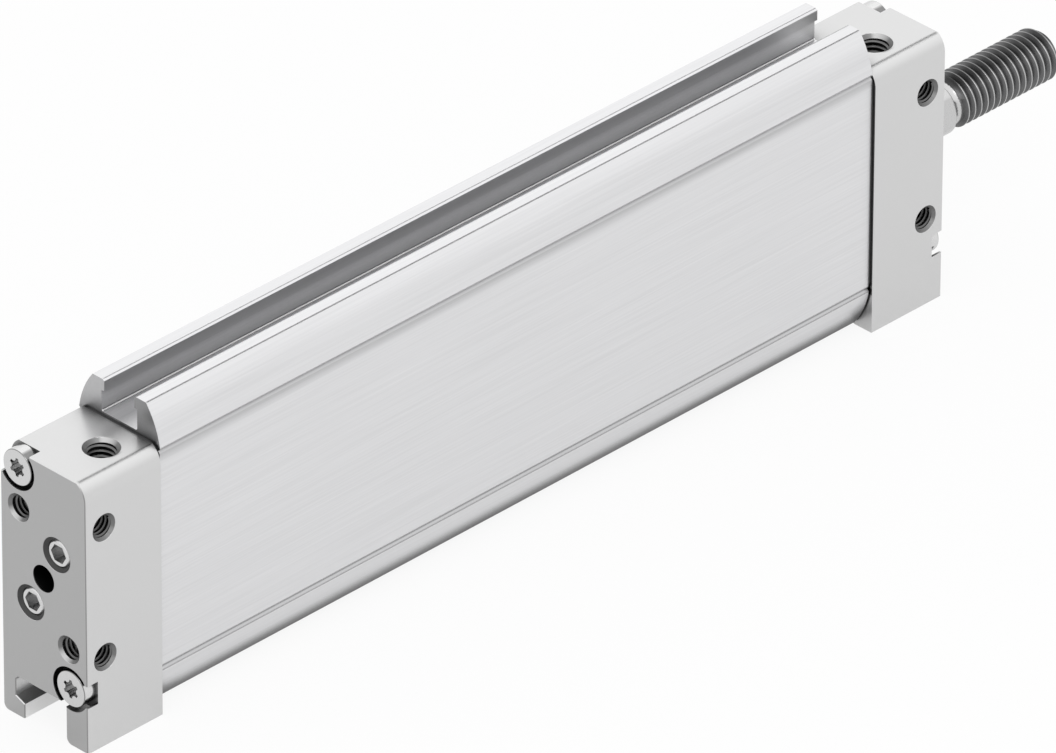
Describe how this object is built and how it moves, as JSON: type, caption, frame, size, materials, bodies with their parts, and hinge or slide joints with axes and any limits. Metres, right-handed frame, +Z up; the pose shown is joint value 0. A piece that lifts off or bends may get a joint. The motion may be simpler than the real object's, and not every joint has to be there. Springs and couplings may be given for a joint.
{
  "type": "flat pneumatic cylinder",
  "caption": "Flat double-acting pneumatic cylinder with an oval piston, slotted barrel rails, square end caps and a threaded rod that slides out of the front cap.",
  "frame": {"origin": "centre of the mouth of the centring bore in the rear cap's outer face, on the rod's axis", "axes": "+X along the rod's axis, from the rear face towards the threaded rod end; +Z up, towards the air ports and the upper sensor slot; Y across the thin side, with the side mounting holes on -Y"},
  "size_m": [0.1903, 0.016, 0.0473],
  "materials": {
    "cap_aluminium": "fine machined, clear anodised",
    "barrel_aluminium": "extruded, clear anodised",
    "screw_steel": "zinc plated",
    "rod_steel": "ground stainless steel",
    "gasket_rubber": "matte",
    "seal_rubber": "satin",
    "bumper_rubber": "matte",
    "bush_bronze": "sintered",
    "piston_aluminium": "machined",
    "magnet_ferrite": "plastic-bonded ferrite",
    "guide_plastic": "matte"
  },
  "bodies": {
    "housing": {"barrel": "barrel_aluminium", "rear_cap": "cap_aluminium", "front_cap": "cap_aluminium", "rear_gasket": "gasket_rubber", "front_gasket": "gasket_rubber", "rear_bumper": "bumper_rubber", "front_bumper": "bumper_rubber", "rear_screw_upper": "screw_steel", "rear_screw_lower": "screw_steel", "front_screw_upper": "screw_steel", "front_screw_lower": "screw_steel", "rear_plug_upper": "screw_steel", "rear_plug_lower": "screw_steel", "rod_bush": "bush_bronze", "rod_seal": "seal_rubber", "wiper_ring": "seal_rubber"},
    "rod": {"piston_rod": "rod_steel", "piston_rear_half": "piston_aluminium", "piston_front_half": "piston_aluminium", "piston_magnet": "magnet_ferrite", "piston_seal_rear": "seal_rubber", "piston_seal_front": "seal_rubber", "piston_guide_band": "guide_plastic", "piston_o_ring": "seal_rubber", "piston_screw": "screw_steel"}
  },
  "joints": [
    {"name": "rod_slide", "type": "slide", "parent": "housing", "child": "rod", "axis": [1, 0, 0], "range_m": [0, 0.1]}
  ]
}
